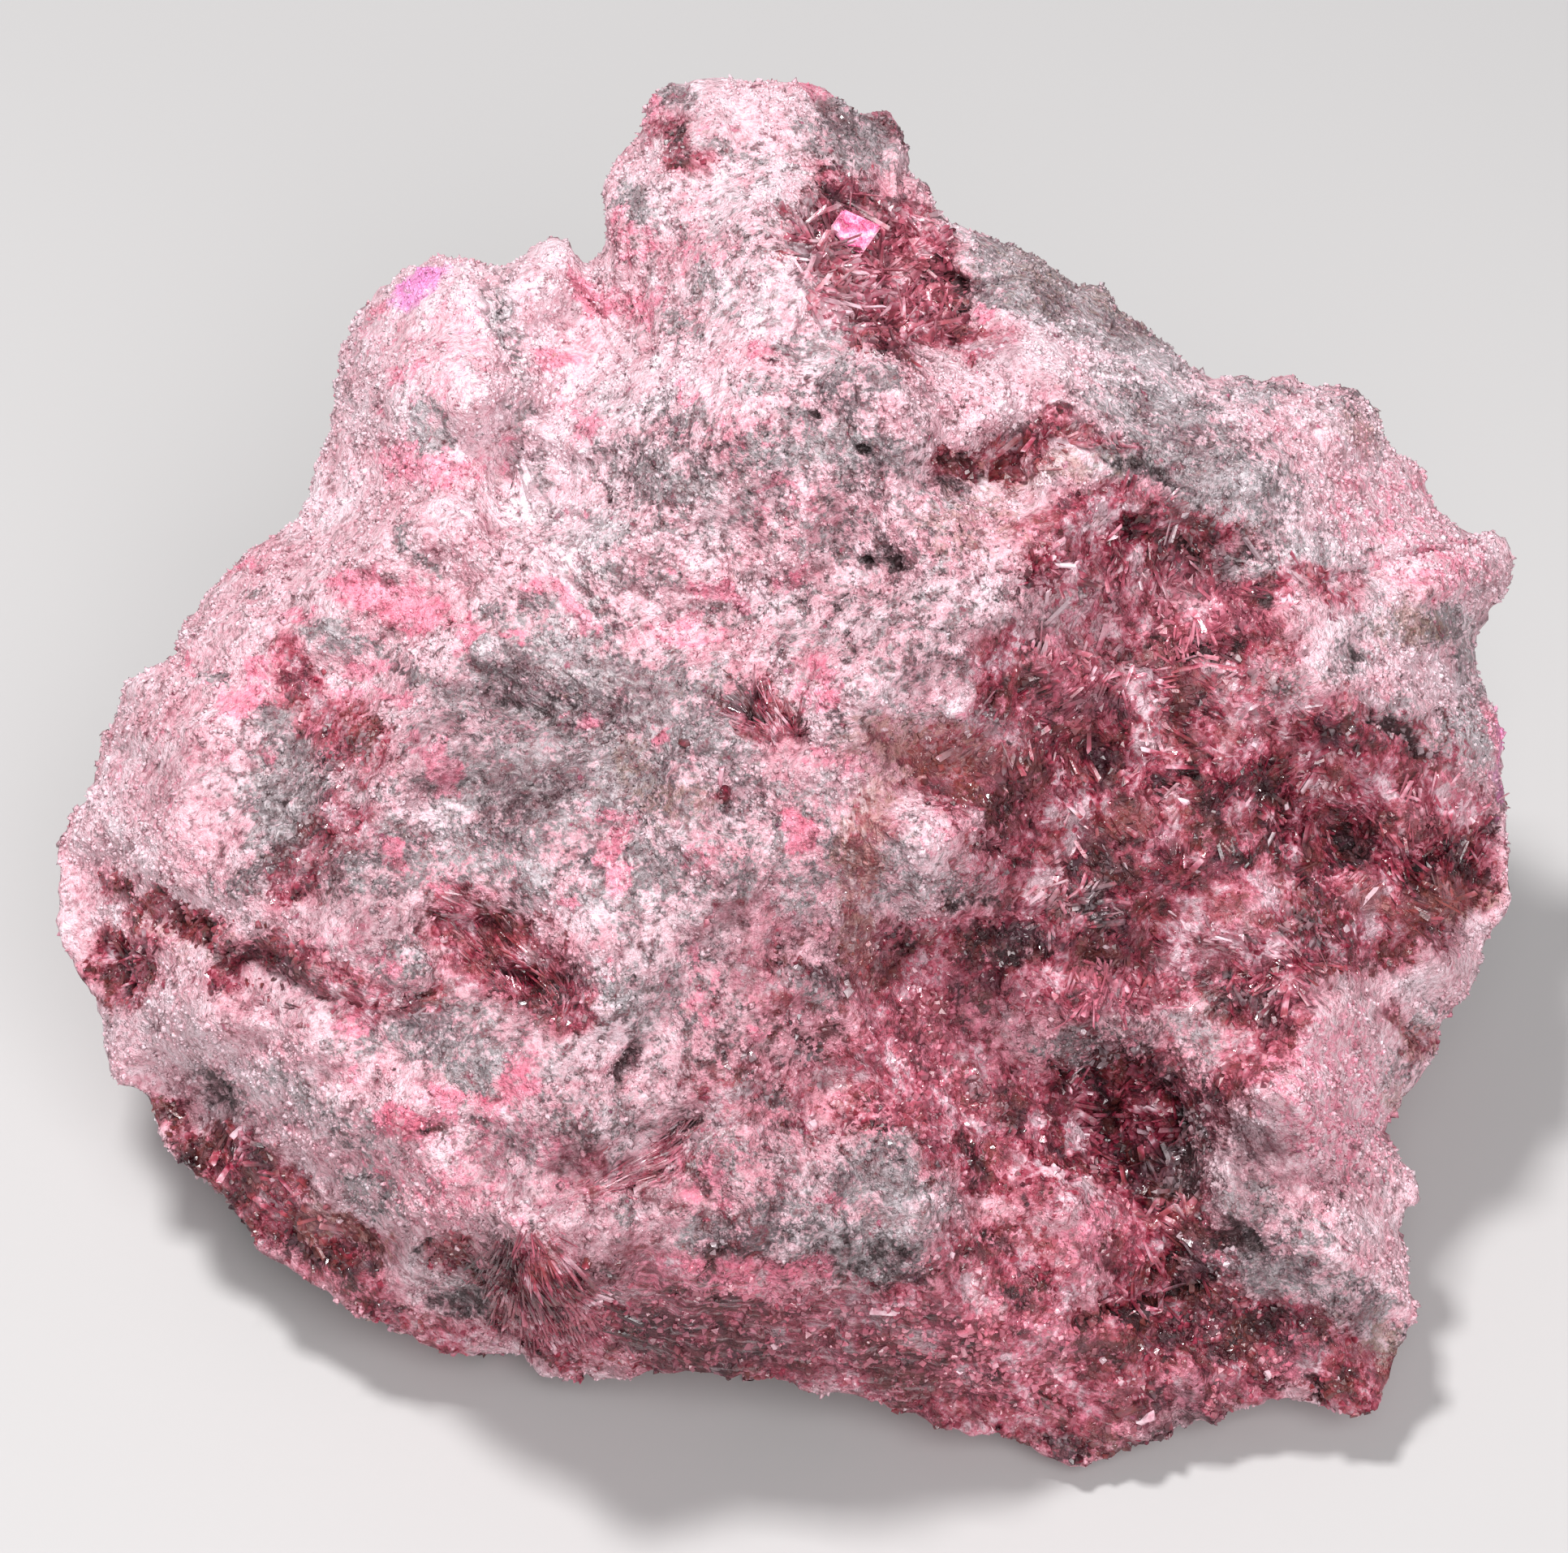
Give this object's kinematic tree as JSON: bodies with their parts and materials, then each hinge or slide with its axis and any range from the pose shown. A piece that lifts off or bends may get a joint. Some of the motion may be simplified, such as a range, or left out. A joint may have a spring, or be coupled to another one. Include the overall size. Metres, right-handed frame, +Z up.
{
  "type": "roselite specimen",
  "caption": "Broken chunk of pink and grey ore with crusts of dark crimson bladed crystals; stands on its rough underside as a display specimen.",
  "frame": {"origin": "middle of the footprint of the whole object, on the plane it rests on", "axes": "+Z up; +X along the longest extent, towards the end with the large crystal field; -Y towards the sloping broad face"},
  "size_m": [0.098, 0.0818, 0.0621],
  "materials": {
    "stone": "rough, sugary",
    "crimson_crystal": "glassy to silky",
    "pink_crystal": "glassy"
  },
  "bodies": {
    "root": {"stone": "stone", "upper_pocket_crystals": "crimson_crystal", "vug_crystals": "crimson_crystal", "right_field_crystals": "crimson_crystal", "deep_hollow_crystals": "crimson_crystal", "centre_fan_crystals": "crimson_crystal", "left_pocket_crystals": "crimson_crystal", "left_ledge_crystals": "crimson_crystal", "left_band_crystals": "crimson_crystal", "left_flank_crystals": "crimson_crystal", "front_spray_crystals": "crimson_crystal", "front_wedge_crystals": "crimson_crystal", "bottom_edge_crystals": "crimson_crystal", "upper_pocket_rhomb": "pink_crystal"}
  },
  "joints": []
}
